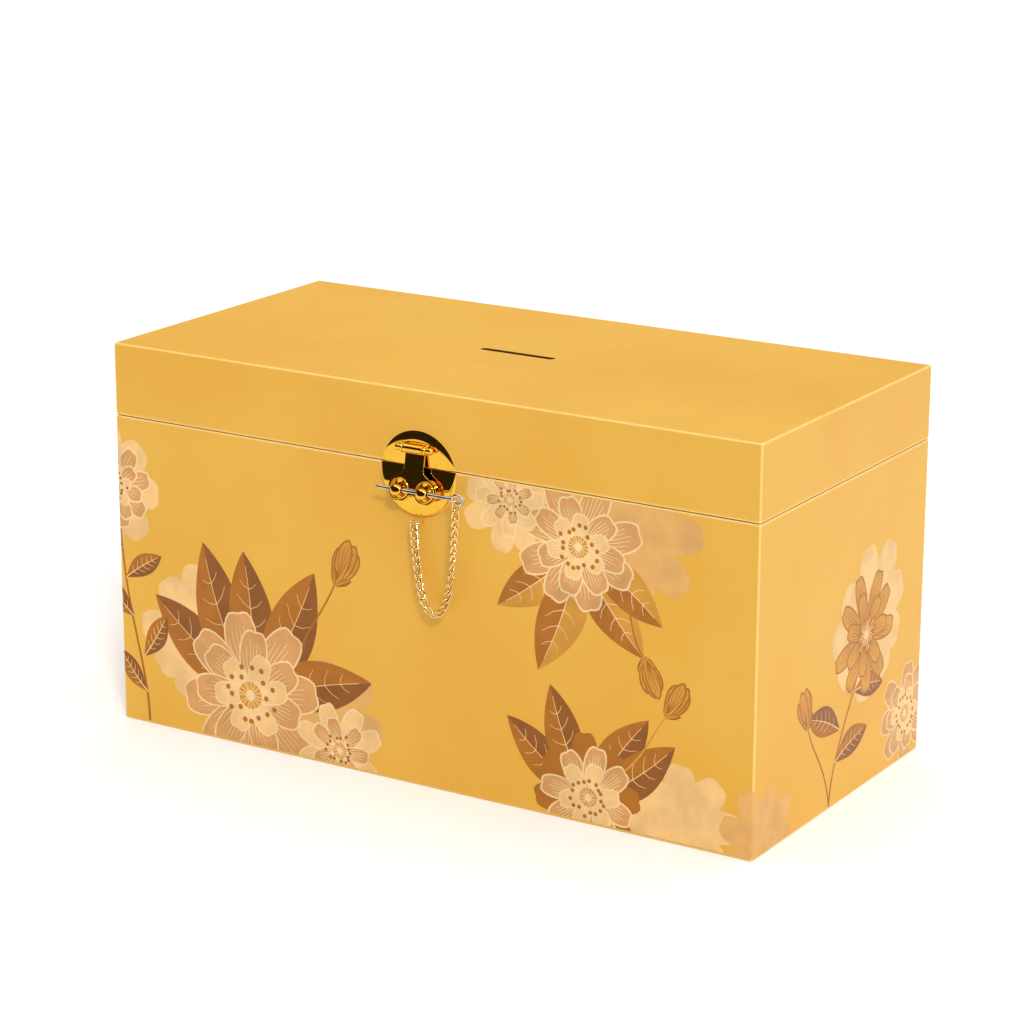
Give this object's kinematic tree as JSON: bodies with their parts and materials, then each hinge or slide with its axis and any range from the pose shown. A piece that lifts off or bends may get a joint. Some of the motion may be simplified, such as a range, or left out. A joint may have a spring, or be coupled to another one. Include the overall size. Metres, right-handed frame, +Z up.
{
  "type": "wedding card box",
  "caption": "Lacquered card box with a slotted hinged lid, a round brass hasp latch, a split locking pin and its chain.",
  "frame": {"origin": "middle of the box's underside, on the surface that the box stands on", "axes": "+X to the right along the long front wall, +Y from the front wall to the back wall, +Z up"},
  "size_m": [0.43, 0.2287, 0.234],
  "materials": {
    "lacquer": "satin lacquer",
    "inner_lacquer": "matte lacquer",
    "polished_brass": "polished",
    "hinge_brass": "satin",
    "chain_brass": "polished",
    "pin_steel": "bright"
  },
  "bodies": {
    "box": {"body_front": "lacquer", "body_right": "lacquer", "body_back": "lacquer", "body_left": "lacquer", "body_floor": "inner_lacquer", "lower_plate": "polished_brass", "hasp_knob_left": "polished_brass", "hasp_knob_right": "polished_brass", "chain_staple": "chain_brass", "left_hinge_body_leaf": "hinge_brass", "left_hinge_body_screw_outer": "hinge_brass", "left_hinge_body_screw_inner": "hinge_brass", "left_hinge_pin": "hinge_brass", "right_hinge_body_leaf": "hinge_brass", "right_hinge_body_screw_outer": "hinge_brass", "right_hinge_body_screw_inner": "hinge_brass", "right_hinge_pin": "hinge_brass"},
    "lid": {"lid_top": "lacquer", "lid_front_rail": "lacquer", "lid_right_rail": "lacquer", "lid_back_rail": "lacquer", "lid_left_rail": "lacquer", "upper_plate": "polished_brass", "rod_staple_left": "polished_brass", "rod_staple_right": "polished_brass", "flap_rod": "polished_brass", "left_hinge_lid_leaf": "hinge_brass", "left_hinge_lid_screw_outer": "hinge_brass", "left_hinge_lid_screw_inner": "hinge_brass", "right_hinge_lid_leaf": "hinge_brass", "right_hinge_lid_screw_outer": "hinge_brass", "right_hinge_lid_screw_inner": "hinge_brass"},
    "flap": {"hasp_flap": "polished_brass"},
    "pin": {"locking_pin": "pin_steel"},
    "left_strand": {"chain_link_01": "chain_brass", "chain_link_02": "chain_brass", "chain_link_03": "chain_brass", "chain_link_04": "chain_brass", "chain_link_05": "chain_brass", "chain_link_06": "chain_brass", "chain_link_07": "chain_brass", "chain_link_08": "chain_brass", "chain_link_09": "chain_brass", "chain_link_10": "chain_brass", "chain_link_11": "chain_brass", "chain_link_12": "chain_brass"},
    "right_strand": {"chain_link_13": "chain_brass", "chain_link_14": "chain_brass", "chain_link_15": "chain_brass", "chain_link_16": "chain_brass", "chain_link_17": "chain_brass", "chain_link_18": "chain_brass", "chain_link_19": "chain_brass", "chain_link_20": "chain_brass", "chain_link_21": "chain_brass", "chain_link_22": "chain_brass", "chain_link_23": "chain_brass", "chain_link_24": "chain_brass", "chain_link_25": "chain_brass", "chain_link_26": "chain_brass"}
  },
  "joints": [
    {"name": "lid_hinge", "type": "hinge", "parent": "box", "child": "lid", "pos_m": [0, 0.1072, 0.1903], "axis": [-1, 0, 0], "range_deg": [0, 95]},
    {"name": "flap_hinge", "type": "hinge", "parent": "lid", "child": "flap", "pos_m": [0, -0.10875, 0.2011], "axis": [-1, 0, 0], "range_deg": [0, 165]},
    {"name": "pin_slide", "type": "slide", "parent": "box", "child": "pin", "axis": [1, 0, 0], "range_m": [0, 0.036]},
    {"name": "left_strand_swing", "type": "hinge", "parent": "box", "child": "left_strand", "pos_m": [0, -0.1099, 0.1584], "axis": [0, 1, 0], "range_deg": [-17.6, 0]},
    {"name": "right_strand_swing", "type": "hinge", "parent": "pin", "child": "right_strand", "pos_m": [0.031, -0.1141, 0.17546], "axis": [0, 1, 0], "range_deg": [0, 19.7]}
  ],
  "couplings": [
    {"joint": "left_strand_swing", "follows": "pin_slide", "rad_per_m": -8.4517},
    {"joint": "right_strand_swing", "follows": "pin_slide", "rad_per_m": 9.4514}
  ]
}
